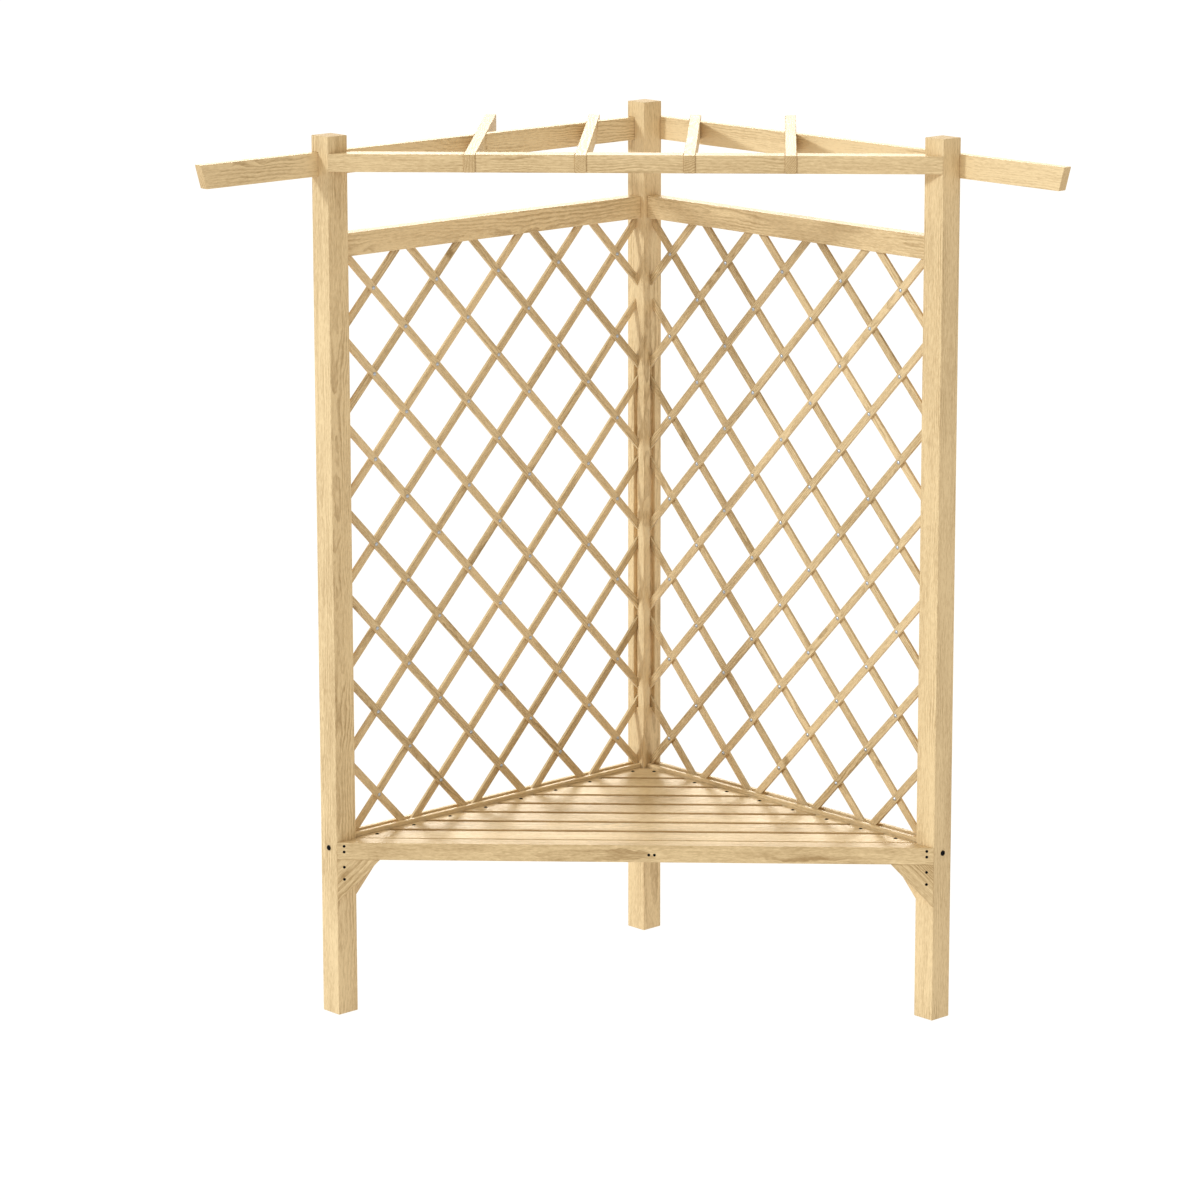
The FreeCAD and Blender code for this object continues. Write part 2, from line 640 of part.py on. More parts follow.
def brackets(all_holes):
    """Triangular corner brackets under the front rail and the side rails."""
    thick = ("0", "BracketThick")
    down_post = ("0", "BracketTall")
    block = mitred_bar("front_bracket_block", "BracketThick", "FrontRailLow - BracketTall",
                       "FrontRailLow")
    for side in SIDES:
        wide, x = ("0", "BracketWide"), "-PostX"
        if side == "right":
            wide, x = ("-BracketWide", "0"), "PostX"
        name = side + "_front_bracket"
        triangle = sloped(name + "_triangle", wide, ("0", "0"), down_post, thick,
                          (x, "-PostPoint - MiddleY", "FrontRailLow"), 0, -90)
        mitred = common(name + "_mitred", triangle, block)
        keep(name, cut(name, mitred, [all_holes]))
        name = side + "_side_bracket"
        start = "-BracketThick / 2" if side == "left" else "BracketThick / 2"
        corner = wall_corner(side, "PostHalf", start) + ("SideRailLow",)
        triangle = sloped(name + "_triangle", ("0", "BracketWide"), ("0", "0"), down_post,
                          thick, corner, WALL_YAW[side], -90)
        keep(name, cut(name, triangle, [all_holes]))


# Trellis

def crossings():
    """Column and row numbers of the rivets between the posts and the rails."""
    wall = size["WallEnd"] - size["PostHalf"]
    tall = size["PanelLow"] - size["SideRailTop"]
    edge = size["RivetHead"] / 2
    columns = int((wall - edge - size["FirstColumn"]) // size["CellAlong"]) + 1
    rows = int((tall - edge - size["FirstRow"]) // size["CellTall"]) + 1
    return [(column, row) for column in range(columns) for row in range(rows)
            if (column + row) % 2 == 0]


def crossing_point(column, row):
    """A crossing on the middle plane of the trellis, along and up."""
    along = size["PostHalf"] + size["FirstColumn"] + column * size["CellAlong"]
    height = size["SideRailTop"] + size["FirstRow"] + row * size["CellTall"]
    return along, height


def trellis_window():
    """All the room for laths: between posts and rails, and in their grooves."""
    deep = 2 * size["LathThick"]
    low = size["SideRailTop"] - size["RailGrooveDeep"]
    high = size["PanelLow"] + size["RailGrooveDeep"]
    near = size["PostHalf"]
    wall = size["WallEnd"] - near
    start = FreeCAD.Vector(near, -deep / 2, low)
    opening = Part.makeBox(wall, deep, high - low, start)
    groove_start = FreeCAD.Vector(near - size["PostGrooveDeep"], -deep / 2,
                                  size["PostGrooveLow"])
    groove_tall = size["PostGrooveHigh"] - size["PostGrooveLow"]
    grooves = Part.makeBox(wall + 2 * size["PostGrooveDeep"], deep, groove_tall, groove_start)
    return opening.fuse(grooves).removeSplitter()


def lath_layer(rise, layer_start, window):
    """Parallel laths of one layer: rise is +1 or -1, laid from layer_start outward."""
    wide = size["LathWide"]
    thick = size["LathThick"]
    radius = size["RivetShank"] / 2 + size["HoleSlack"]
    slope = math.degrees(math.atan2(size["CellTall"], size["CellAlong"]))
    turn = FreeCAD.Rotation(FreeCAD.Vector(0, 1, 0), -rise * slope)
    long = 2 * window.BoundBox.DiagonalLength
    crossed = {}
    for column, row in crossings():
        crossed.setdefault(row - rise * column, []).append(crossing_point(column, row))
    laths = []
    for points in crossed.values():
        along, height = points[0]
        lath = Part.makeBox(long, thick, wide, FreeCAD.Vector(-long / 2, 0, -wide / 2))
        lath.Placement = FreeCAD.Placement(FreeCAD.Vector(along, layer_start, height), turn)
        drills = [Part.makeCylinder(radius, 3 * thick,
                                    FreeCAD.Vector(hole_along, layer_start - thick, hole_height),
                                    FreeCAD.Vector(0, 1, 0))
                  for hole_along, hole_height in points]
        laths += lath.common(window).cut(drills).Solids
    return Part.makeCompound(laths)


def rivet(inner_side):
    """A rivet through both layers along Y, its dome on the inner side."""
    radius = size["RivetHead"] / 2
    shank = size["RivetShank"] / 2
    dome = size["RivetDome"]
    through = 2 * size["LathThick"]
    foot = through + size["RivetFoot"]
    ring = [(radius * math.sin(math.radians(turn)), -dome * math.cos(math.radians(turn)))
            for turn in range(0, 91, 15)]
    shape = revolved(ring + [(shank, 0), (shank, through), (radius, through), (radius, foot),
                             (0, foot)])
    turn = FreeCAD.Rotation(FreeCAD.Vector(0, 0, 1), FreeCAD.Vector(0, -inner_side, 0))
    start = FreeCAD.Vector(0, inner_side * size["LathThick"], 0)
    shape.Placement = FreeCAD.Placement(start, turn)
    return shape


def trellises():
    """Two panels of crossed laths, riveted at the crossings."""
    window = trellis_window()
    thick = size["LathThick"]
    points = [crossing_point(column, row) for column, row in crossings()]
    for side in SIDES:
        inner_side = -1 if side == "left" else 1
        layers = {"inner": min(0, inner_side) * thick, "outer": min(0, -inner_side) * thick}
        rises = {"inner": -1, "outer": 1}
        one = rivet(inner_side)
        rivets = [one.translated(FreeCAD.Vector(along, 0, height)) for along, height in points]
        groups = {side + "_trellis_rivets": Part.makeCompound(rivets)}
        for layer, start in layers.items():
            name = "%s_trellis_%s_laths" % (side, layer)
            groups[name] = lath_layer(rises[layer], start, window)
        turn = FreeCAD.Rotation(WALL_YAW[side], 0, 0)
        wall = FreeCAD.Placement(wall_point(side, 0, 0, 0), turn)
        for name, shape in groups.items():
            piece = shaped(name, shape)
            piece.Placement = wall
            keep(name, piece)


def build():
    """Make every sub-part of the arbour seat."""
    seat_fasteners()
    roof_fasteners()
    all_holes = shaped("fastener_holes", Part.makeCompound(holes))
    rails = {side: roof_rail_blank(side) for side in SIDES}
    posts(rails, all_holes)
    wall_rails(all_holes)
    roof(rails, all_holes)
    seat_slats(all_holes)
    slat_supports(all_holes)
    brackets(all_holes)
    trellises()
    doc.recompute()


def check():
    """Stop if any object failed or any sub-part has no sound shape."""
    for piece in doc.Objects:
        if "Invalid" in piece.State or "Error" in piece.State:
            raise RuntimeError("%s failed: %s" % (piece.Label, piece.State))
    for name, piece in parts.items():
        if piece.Shape.isNull() or not piece.Shape.isValid() or not piece.Shape.Solids:
            raise RuntimeError("%s has no sound solid" % name)


def export():
    """Write each sub-part to its own file."""
    os.makedirs("parts", exist_ok=True)
    for name, piece in parts.items():
        piece.Shape.exportStep("parts/%s.step" % name)


def report():
    """Print the overall box and how many solids each sub-part has."""
    whole = FreeCAD.BoundBox()
    for name, piece in parts.items():
        whole.add(piece.Shape.BoundBox)
        print("%-28s %3d solids %12.0f mm3" % (name, len(piece.Shape.Solids),
                                               piece.Shape.Volume))
    print("box", [round(number, 2) for number in (whole.XMin, whole.XMax, whole.YMin,
                                                  whole.YMax, whole.ZMin, whole.ZMax)])


build()
check()
export()
report()
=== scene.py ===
import json
import math
import random

import bmesh
import bpy
from mathutils import Matrix, Vector


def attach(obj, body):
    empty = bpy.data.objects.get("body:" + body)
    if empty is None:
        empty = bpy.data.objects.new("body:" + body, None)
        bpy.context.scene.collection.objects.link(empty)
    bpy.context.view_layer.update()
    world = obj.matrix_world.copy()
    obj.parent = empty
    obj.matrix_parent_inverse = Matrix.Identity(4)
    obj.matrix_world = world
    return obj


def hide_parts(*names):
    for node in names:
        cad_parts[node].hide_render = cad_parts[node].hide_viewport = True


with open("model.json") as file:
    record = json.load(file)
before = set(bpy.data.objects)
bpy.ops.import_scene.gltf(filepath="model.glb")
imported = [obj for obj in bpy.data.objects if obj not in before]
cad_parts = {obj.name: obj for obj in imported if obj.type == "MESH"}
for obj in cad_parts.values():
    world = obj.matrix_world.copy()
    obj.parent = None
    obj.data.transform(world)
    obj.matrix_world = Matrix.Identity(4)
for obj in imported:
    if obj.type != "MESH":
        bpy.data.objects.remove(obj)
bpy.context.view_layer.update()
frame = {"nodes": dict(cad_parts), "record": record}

# Corner arbour seat of unstained pine, dressed for the camera. Metres, +Z up, front faces -Y.
# Every board becomes its own piece with eased edges and a grain that runs through the solid.
# Every screw, bolt and rivet becomes a turned piece with its drive or its rolled end.

UP = Vector((0, 0, 1))
RIGHT = Vector((1, 0, 0))
REAR = Vector((0, 1, 0))
HALF_ROOT = math.sqrt(0.5)
SIDES = ("left", "right")

# Along each trellis wall from its front post to the back post, and away from the seat
WALL = {
    "left": Vector((HALF_ROOT, HALF_ROOT, 0)),
    "right": Vector((-HALF_ROOT, HALF_ROOT, 0)),
}
OUTWARD = {
    "left": Vector((-HALF_ROOT, HALF_ROOT, 0)),
    "right": Vector((HALF_ROOT, HALF_ROOT, 0)),
}

# Half a trellis cell, upright and along the wall
CELL_TALL = 0.0956
CELL_ALONG = 0.0911
LATH_SLOPE = math.atan2(CELL_TALL, CELL_ALONG)

slot_of = {part["node"]: part["material_slot"] for part in frame["record"]["subparts"]}


# Shader nodes

def shader_node(tree, kind, inputs=None, **settings):
    """A node with its settings made and its inputs linked or set."""
    made = tree.nodes.new(kind)
    for name, value in settings.items():
        setattr(made, name, value)
    for socket, value in (inputs or {}).items():
        if isinstance(value, bpy.types.NodeSocket):
            tree.links.new(value, made.inputs[socket])
        else:
            made.inputs[socket].default_value = value
    return made


def attribute(tree, name, output):
    """One output of a mesh attribute."""
    return shader_node(tree, "ShaderNodeAttribute", attribute_name=name).outputs[output]


def calc(tree, operation, *values):
    """The result of one sum on numbers or sockets."""
    inputs = dict(enumerate(values))
    return shader_node(tree, "ShaderNodeMath", inputs, operation=operation).outputs[0]


def weighted(tree, start, looks, weights):
    """A start value with some of the looks added to it, each times its own weight."""
    total = start
    for name, weight in weights:
        total = calc(tree, "ADD", total, calc(tree, "MULTIPLY", looks[name], weight))
    return total


def ramp_between(tree, value, low, high):
    """0 below low, 1 above high and a soft step between them."""
    inputs = {"Value": value, "From Min": low, "From Max": high}
    made = shader_node(tree, "ShaderNodeMapRange", inputs, interpolation_type="SMOOTHSTEP")
    return made.outputs["Result"]


def stretched(tree, vector, scale):
    """A vector multiplied by three numbers."""
    inputs = {0: vector, 1: scale}
    made = shader_node(tree, "ShaderNodeVectorMath", inputs, operation="MULTIPLY")
    return made.outputs[0]


def length_of(tree, vector):
    """The length of a vector."""
    made = shader_node(tree, "ShaderNodeVectorMath", {0: vector}, operation="LENGTH")
    return made.outputs["Value"]


def noise(tree, vector, scale, detail, roughness):
    """Noise about 0, from about -0.5 to 0.5, stretched by three numbers a metre."""
    inputs = {"Vector": stretched(tree, vector, scale), "Scale": 1.0, "Detail": detail,
              "Roughness": roughness}
    made = shader_node(tree, "ShaderNodeTexNoise", inputs, noise_dimensions="3D")
    return calc(tree, "SUBTRACT", made.outputs[0], 0.5)


def mix_colour(tree, share, one, two):
    """Two colours mixed by a share."""
    made = shader_node(tree, "ShaderNodeMix", {"Factor": share}, data_type="RGBA")
    for socket, value in ((made.inputs[6], one), (made.inputs[7], two)):
        if isinstance(value, bpy.types.NodeSocket):
            tree.links.new(value, socket)
        else:
            socket.default_value = (*value, 1.0)
    return made.outputs[2]


def link_bump(tree, shader, height, strength, distance):
    """Let a height in the surface turn the shader's normal."""
    inputs = {"Height": height, "Strength": strength, "Distance": distance}
    bump = shader_node(tree, "ShaderNodeBump", inputs)
    tree.links.new(bump.outputs[0], shader.inputs["Normal"])


def new_material(name):
    """A material with only its shader and its output, and the shader."""
    made = bpy.data.materials.new(name)
    made.use_nodes = True
    shader = made.node_tree.nodes["Principled BSDF"]
    return made, made.node_tree, shader


# Wood

# Each noise: its stretch a metre along the pith and twice across it, its detail and roughness
WOOD_NOISES = {
    "wander": ((3.4, 14.0, 14.0), 2.0, 0.5),
    "ripple": ((26.0, 60.0, 60.0), 2.0, 0.5),
    "fibre": ((70.0, 400.0, 400.0), 4.0, 0.65),
    "streak": ((7.0, 150.0, 150.0), 3.0, 0.6),
    "cloud": ((2.4, 16.0, 16.0), 2.0, 0.5),
    "figure": ((4.0, 12.0, 12.0), 1.0, 0.5),
    "duct": ((45.0, 950.0, 950.0), 1.0, 0.5),
    "speckle": ((500.0, 900.0, 900.0), 3.0, 0.7),
}

# Growth rings in metres, and how far they wander and ripple
RING_WIDTH = 0.0042
WANDER_REACH = 0.026
RIPPLE_REACH = 0.0045

# Rings of uneven width: how fast it changes from ring to ring, and by how much of a ring
UNEVEN_PACE = 0.61
UNEVEN_REACH = 0.45

# Where in a ring the dark wood starts and is full, and where it starts to end and has ended
DARK_RISE = (0.25, 0.86)
DARK_FALL = (0.9, 1.0)

# A knot in metres: longer along the board, with rings pushed aside that close up again
KNOT_RADIUS = 0.006
KNOT_STRETCH = (0.45, 1.0, 0.0)
KNOT_PUSH = 0.012
KNOT_FADE = -0.9
KNOT_EDGE = (0.35, 1.1)

# Where rings show strongly, and where resin ducts show at all
FIGURE_EDGE = (-0.1, 0.2)
DUCT_EDGE = (0.17, 0.24)

# How strongly the rings show, and what darkens the colour, roughens and raises the surface
RING_LEAST = 0.3
RING_WEIGHTS = (("figure", 1.1),)
END_RING_WEIGHTS = (("end", 0.25),)
DARK_LEAST = 0.24
DARK_WEIGHTS = (("streak", 0.6), ("fibre", 1.5), ("cloud", 0.7), ("tone", -0.16), ("knot", 0.6))
DUCT_SHARE = 0.16
DUCT_COLOUR = (0.30, 0.17, 0.07)
# The darker colour of end grain, also used as painted shade on the slats' long sides
END_GRAIN_AND_GAP_WEIGHTS = (("speckle", 0.55),)
END_GRAIN_AND_GAP_SHADE_COLOUR = (0.42, 0.26, 0.11)
ROUGH_LEAST = 0.58
ROUGH_WEIGHTS = (("fibre", 0.22), ("late", -0.08), ("end", 0.15))
HEIGHT_WEIGHTS = (("late", 0.35), ("torn", 1.2), ("duct", -0.4))
WOOD_SPECULAR = 0.32
WOOD_BUMP = 0.5
WOOD_BUMP_REACH = 0.0004


def late_wood(tree, place, looks, beside):
    """The dark wood of rings that wander along the board and part round a knot."""
    radius = length_of(tree, stretched(tree, place, (0.0, 1.0, 1.0)))
    wander = calc(tree, "MULTIPLY", looks["wander"], WANDER_REACH)
    ripple = calc(tree, "MULTIPLY", looks["ripple"], RIPPLE_REACH)
    bulge = calc(tree, "EXPONENT", calc(tree, "MULTIPLY", beside, KNOT_FADE))
    warped = calc(tree, "ADD", radius, calc(tree, "ADD", wander, ripple))
    warped = calc(tree, "ADD", warped, calc(tree, "MULTIPLY", bulge, KNOT_PUSH))
    turns = calc(tree, "DIVIDE", warped, RING_WIDTH)
    uneven = calc(tree, "SINE", calc(tree, "MULTIPLY", turns, UNEVEN_PACE))
    uneven = calc(tree, "MULTIPLY", uneven, UNEVEN_REACH)
    turn = calc(tree, "FRACT", calc(tree, "ADD", turns, uneven))
    risen = ramp_between(tree, turn, *DARK_RISE)
    fallen = ramp_between(tree, turn, *DARK_FALL)
    return calc(tree, "MULTIPLY", risen, calc(tree, "SUBTRACT", 1.0, fallen))


def wood_material(name, light, dark, ring_share, end_darker):
    """Softwood with its growth rings, fibres and end grain, in the board's own axes.

    The attribute grain holds the place in the log, x along its pith. The attribute swirl holds
    the place from a small knot, x along the board. Both are in metres. The attribute tone runs
    from -1 for a dark board to 1 for a pale one. The attribute for end grain and gap shade is 1
    on a face cut across the grain, and more on the slats' long sides, where its darkening is
    painted shade for the gaps between the slats.
    """
    made, tree, shader = new_material(name)
    place = attribute(tree, "grain", "Vector")
    swirl = attribute(tree, "swirl", "Vector")
    beside = length_of(tree, stretched(tree, swirl, KNOT_STRETCH))
    beside = calc(tree, "DIVIDE", beside, KNOT_RADIUS)
    looks = {look: noise(tree, place, *values) for look, values in WOOD_NOISES.items()}
    looks["figure"] = ramp_between(tree, looks["figure"], *FIGURE_EDGE)
    looks["duct"] = ramp_between(tree, looks["duct"], *DUCT_EDGE)
    looks["tone"] = attribute(tree, "tone", "Fac")
    looks["end"] = attribute(tree, "end", "Fac")
    looks["torn"] = calc(tree, "MULTIPLY", looks["end"], looks["speckle"])
    looks["late"] = late_wood(tree, place, looks, beside)
    looks["knot"] = calc(tree, "SUBTRACT", 1.0, ramp_between(tree, beside, *KNOT_EDGE))

    shown = calc(tree, "MULTIPLY", weighted(tree, RING_LEAST, looks, RING_WEIGHTS), ring_share)
    shown = weighted(tree, shown, looks, END_RING_WEIGHTS)
    share = calc(tree, "MULTIPLY", looks["late"], shown)
    share = calc(tree, "ADD", weighted(tree, share, looks, DARK_WEIGHTS), DARK_LEAST)
    share = shader_node(tree, "ShaderNodeClamp", {"Value": share}).outputs[0]
    colour = mix_colour(tree, share, light, dark)
    dots = calc(tree, "MULTIPLY", looks["duct"], DUCT_SHARE)
    colour = mix_colour(tree, dots, colour, DUCT_COLOUR)
    # Ends are darker; the same darkening on the slats' long sides is painted shade for the gaps
    # between the slats
    ends = calc(tree, "MULTIPLY", looks["end"], weighted(tree, end_darker, looks, END_GRAIN_AND_GAP_WEIGHTS))
    colour = mix_colour(tree, ends, colour, END_GRAIN_AND_GAP_SHADE_COLOUR)
    tree.links.new(colour, shader.inputs["Base Color"])

    rough = weighted(tree, ROUGH_LEAST, looks, ROUGH_WEIGHTS)
    tree.links.new(rough, shader.inputs["Roughness"])
    shader.inputs["Specular IOR Level"].default_value = WOOD_SPECULAR
    height = weighted(tree, looks["fibre"], looks, HEIGHT_WEIGHTS)
    link_bump(tree, shader, height, WOOD_BUMP, WOOD_BUMP_REACH)
    return made


# Metal

MOTTLE_DETAIL = 4.0
MOTTLE_ROUGHNESS = 0.6
MOTTLE_EDGE = 0.2
GLOSS_SWING = 0.25
METAL_BUMP = 0.3
METAL_BUMP_REACH = 0.00008


def metal_material(name, one, two, metallic, specular, rough, grain):
    """Metal or paint with a fine mottle in its colour, gloss and surface, grain a metre."""
    made, tree, shader = new_material(name)
    place = shader_node(tree, "ShaderNodeTexCoord").outputs["Object"]
    mottle = noise(tree, place, (grain, grain, grain), MOTTLE_DETAIL, MOTTLE_ROUGHNESS)
    share = ramp_between(tree, mottle, -MOTTLE_EDGE, MOTTLE_EDGE)
    tree.links.new(mix_colour(tree, share, one, two), shader.inputs["Base Color"])
    gloss = calc(tree, "ADD", rough, calc(tree, "MULTIPLY", mottle, GLOSS_SWING))
    tree.links.new(gloss, shader.inputs["Roughness"])
    shader.inputs["Metallic"].default_value = metallic
    shader.inputs["Specular IOR Level"].default_value = specular
    link_bump(tree, shader, mottle, METAL_BUMP, METAL_BUMP_REACH)
    return made


materials = {
    "pine": wood_material(
        "pine", light=(0.78, 0.585, 0.325), dark=(0.38, 0.24, 0.100),
        ring_share=0.38, end_darker=0.30),
    "lath_wood": wood_material(
        "lath_wood", light=(0.74, 0.55, 0.305), dark=(0.34, 0.22, 0.090),
        ring_share=0.34, end_darker=0.30),
    "dowel_wood": wood_material(
        "dowel_wood", light=(0.80, 0.64, 0.42), dark=(0.62, 0.45, 0.27),
        ring_share=0.2, end_darker=0.15),
    "black_screws": metal_material(
        "black_screws", one=(0.007, 0.007, 0.008), two=(0.016, 0.016, 0.018),
        metallic=0.0, specular=0.0, rough=0.6, grain=900.0),
    "plated_screws": metal_material(
        "plated_screws", one=(0.62, 0.60, 0.52), two=(0.50, 0.49, 0.46),
        metallic=1.0, specular=0.5, rough=0.36, grain=700.0),
    "rivet_metal": metal_material(
        "rivet_metal", one=(0.56, 0.585, 0.63), two=(0.45, 0.475, 0.52),
        metallic=1.0, specular=0.5, rough=0.38, grain=800.0),
}


# Pieces

WELD = 1e-6


def solids_of(node):
    """The separate solids of a CAD node, each as its own welded mesh."""
    whole = bmesh.new()
    whole.from_mesh(frame["nodes"][node].data)
    bmesh.ops.remove_doubles(whole, verts=whole.verts, dist=WELD)
    whole.verts.index_update()
    waiting = set(whole.verts)
    solids = []
    for start in whole.verts:
        if start not in waiting:
            continue
        waiting.discard(start)
        island = [start]
        for vert in island:
            for edge in vert.link_edges:
                other = edge.other_vert(vert)
                if other in waiting:
                    waiting.discard(other)
                    island.append(other)
        solid = bmesh.new()
        copies = {vert: solid.verts.new(vert.co) for vert in island}
        faces = {face for vert in island for face in vert.link_faces}
        for face in sorted(faces, key=lambda item: item.index):
            solid.faces.new([copies[vert] for vert in face.verts])
        solids.append(solid)
    whole.free()
    return solids


def finish_piece(mesh, node, sharp_degrees):
    """Put a mesh in the scene as the piece that stands for a CAD node."""
    mesh.shade_smooth()
    mesh.set_sharp_from_angle(angle=math.radians(sharp_degrees))
    mesh.materials.append(materials[slot_of[node]])
    piece = bpy.data.objects.new(mesh.name, mesh)
    bpy.context.scene.collection.objects.link(piece)
    flat = piece.modifiers.new("flat_faces", "WEIGHTED_NORMAL")
    flat.keep_sharp = True
    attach(piece, "root")
    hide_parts(node)
    return piece


# Boards

# Faces that lie this flat are joined, and edges this sharp and long are rounded
FLAT = math.radians(2)
CORNER = math.radians(25)
LONG_EDGE = 0.009
EASE_STEPS = 3
BOARD_SHARP = 50

# Width of the rounding on each kind of board
POST_EASE = 0.0018
RAIL_EASE = 0.0015
SLAT_EASE = 0.003
LATH_EASE = 0.0007

# How far the pith of the log may lie from the middle of a board
POST_PITH = (0.028, 0.06)
RAIL_PITH = (0.03, 0.085)
LATH_PITH = (0.03, 0.09)

# Where along the log a board may start, and how much its pith may lean from the board
LOG_REACH = 40
LEAN = 0.014

# Knots: the share of boards with one, how far along and aside it may lie, and where it lies
# for a board without one
KNOTTY_SHARE = 0.3
KNOT_ALONG_SHARE = 0.9
KNOT_ASIDE = 0.012
FAR = 10.0

# How square a face lies to the grain where it starts to look like an end, how much further
# until it does in full, and how much rougher the slats' long sides are, and how much darker
# with painted shade for the gaps between the slats
END_START = 0.35
END_SPAN = 0.5
SLAT_GAP_SHADE = 2.5

# Boards that are seen to be paler or darker than their neighbours
MARKED_TONES = {
    "right_roof_rail": 1.6,
    "right_panel_top_rail": -0.2,
    "seat_front_rail": -0.5,
    "left_front_bracket": -1.0,
}


def ease_edges(solid, width):
    """Join the flat faces of a board and round its long outer edges."""
    bmesh.ops.dissolve_limit(solid, angle_limit=FLAT, verts=solid.verts, edges=solid.edges)
    edges = [edge for edge in solid.edges if edge.is_manifold and edge.is_convex
             and edge.calc_face_angle() > CORNER and edge.calc_length() > LONG_EDGE]
    bmesh.ops.bevel(solid, geom=edges, offset=width, offset_type="OFFSET", segments=EASE_STEPS,
                    profile=0.5, affect="EDGES", clamp_overlap=True)
    solid.normal_update()


class Boards:
    """The meshes of all boards of one node, gathered with their grain."""

    def __init__(self, node):
        self.node = node
        self.points, self.faces = [], []
        self.grain, self.swirl, self.tone, self.end = [], [], [], []

    def add(self, solid, along, side, pith_reach, side_shade, seed):
        """Add one board whose grain runs along one way and whose side faces another.

        With its side shade at 1 its side faces are as rough and dark as its ends, and above 1
        more so. That darkness is painted shade for the gaps between the slats.
        """
        draw = random.Random(seed)
        third = along.cross(side)
        middle = sum((vert.co for vert in solid.verts), Vector()) / len(solid.verts)
        spans = [(vert.co - middle).dot(along) for vert in solid.verts]
        turn = draw.uniform(0, 2 * math.pi)
        reach = draw.uniform(*pith_reach)
        pith = Vector((0, reach * math.cos(turn), reach * math.sin(turn)))
        log_start = draw.uniform(0, LOG_REACH)
        lean = (draw.uniform(-LEAN, LEAN), draw.uniform(-LEAN, LEAN))
        tone = MARKED_TONES.get(self.node, draw.uniform(-1, 1))
        knot_along = draw.uniform(min(spans) * KNOT_ALONG_SHARE, max(spans) * KNOT_ALONG_SHARE)
        knot_side = draw.uniform(-KNOT_ASIDE, KNOT_ASIDE)
        knotty = draw.random() < KNOTTY_SHARE
        across_knot = Vector((-math.sin(turn), math.cos(turn)))
        first = len(self.points)
        for vert in solid.verts:
            offset = vert.co - middle
            x, y, z = offset.dot(along), offset.dot(side), offset.dot(third)
            self.points.append(vert.co.copy())
            self.grain.append((x + log_start,
                               y + pith.y + lean[0] * x,
                               z + pith.z + lean[1] * x))
            beside = across_knot.x * y + across_knot.y * z - knot_side
            self.swirl.append((x - knot_along, beside, 0) if knotty else (FAR, FAR, 0))
            self.tone.append(tone)
        solid.verts.index_update()
        for face in solid.faces:
            self.faces.append([first + vert.index for vert in face.verts])
            # Side faces count as ends by the side shade: painted shade for the gaps between the
            # slats
            square = max(abs(face.normal.dot(along)), side_shade * abs(face.normal.dot(side)))
            end = max(0.0, (square - END_START) / END_SPAN)
            self.end.append(min(max(1.0, side_shade), end))

    def mesh(self):
        """The gathered boards as one mesh with their grain attributes."""
        made = bpy.data.meshes.new(self.node + "_timber")
        made.from_pydata(self.points, [], self.faces)
        for name, values in (("grain", self.grain), ("swirl", self.swirl)):
            stored = made.attributes.new(name, "FLOAT_VECTOR", "POINT")
            stored.data.foreach_set("vector", [number for value in values for number in value])
        for name, domain, values in (("tone", "POINT", self.tone), ("end", "FACE", self.end)):
            stored = made.attributes.new(name, "FLOAT", domain)
            stored.data.foreach_set("value", values)
        made.update()
        return made


def board_piece(node, along, side, ease, pith_reach, side_shade=0.0):
    """The piece that stands for a node of boards."""
    boards = Boards(node)
    for number, solid in enumerate(solids_of(node)):
        ease_edges(solid, ease)
        boards.add(solid, along, side, pith_reach, side_shade, "%s %d" % (node, number))
        solid.free()
    return finish_piece(boards.mesh(), node, BOARD_SHARP)


def make_posts():
    for node in ("left_front_post", "right_front_post", "back_post"):
        board_piece(node, UP, WALL["left"], POST_EASE, POST_PITH)


def make_rails():
    for side in SIDES:
        for name in ("roof_rail", "panel_top_rail", "seat_side_rail", "slat_ledger"):
            board_piece("%s_%s" % (side, name), WALL[side], UP, RAIL_EASE, RAIL_PITH)
    for node in ("roof_front_beam", "seat_front_rail"):
        board_piece(node, RIGHT, UP, RAIL_EASE, RAIL_PITH)
    board_piece("seat_middle_bearer", REAR, UP, RAIL_EASE, RAIL_PITH)
    for name in ("far_left", "left", "right", "far_right"):
        board_piece("rafter_" + name, REAR, UP, RAIL_EASE, RAIL_PITH)


def make_slats():
    for node in sorted(frame["nodes"]):
        if node.startswith("seat_slat_"):
            # The slats' long sides are darkened with painted shade for the gaps between them
            board_piece(node, RIGHT, REAR, SLAT_EASE, RAIL_PITH, side_shade=SLAT_GAP_SHADE)


def make_brackets():
    for side, sign in (("left", 1), ("right", -1)):
        front = (RIGHT * sign + UP).normalized()
        board_piece(side + "_front_bracket", front, REAR, RAIL_EASE, RAIL_PITH)
        beside = (WALL[side] + UP).normalized()
        board_piece(side + "_side_bracket", beside, OUTWARD[side], RAIL_EASE, RAIL_PITH)


def make_laths():
    for side in SIDES:
        for layer, rise in (("inner", -1), ("outer", 1)):
            along = WALL[side] * math.cos(LATH_SLOPE) + UP * rise * math.sin(LATH_SLOPE)
            node = "%s_trellis_%s_laths" % (side, layer)
            board_piece(node, along, OUTWARD[side], LATH_EASE, LATH_PITH)


# Fasteners

STEPS = 24
FASTENER_WAYS = (RIGHT, REAR, UP, WALL["left"], WALL["right"])
FASTENER_SHARP = 40


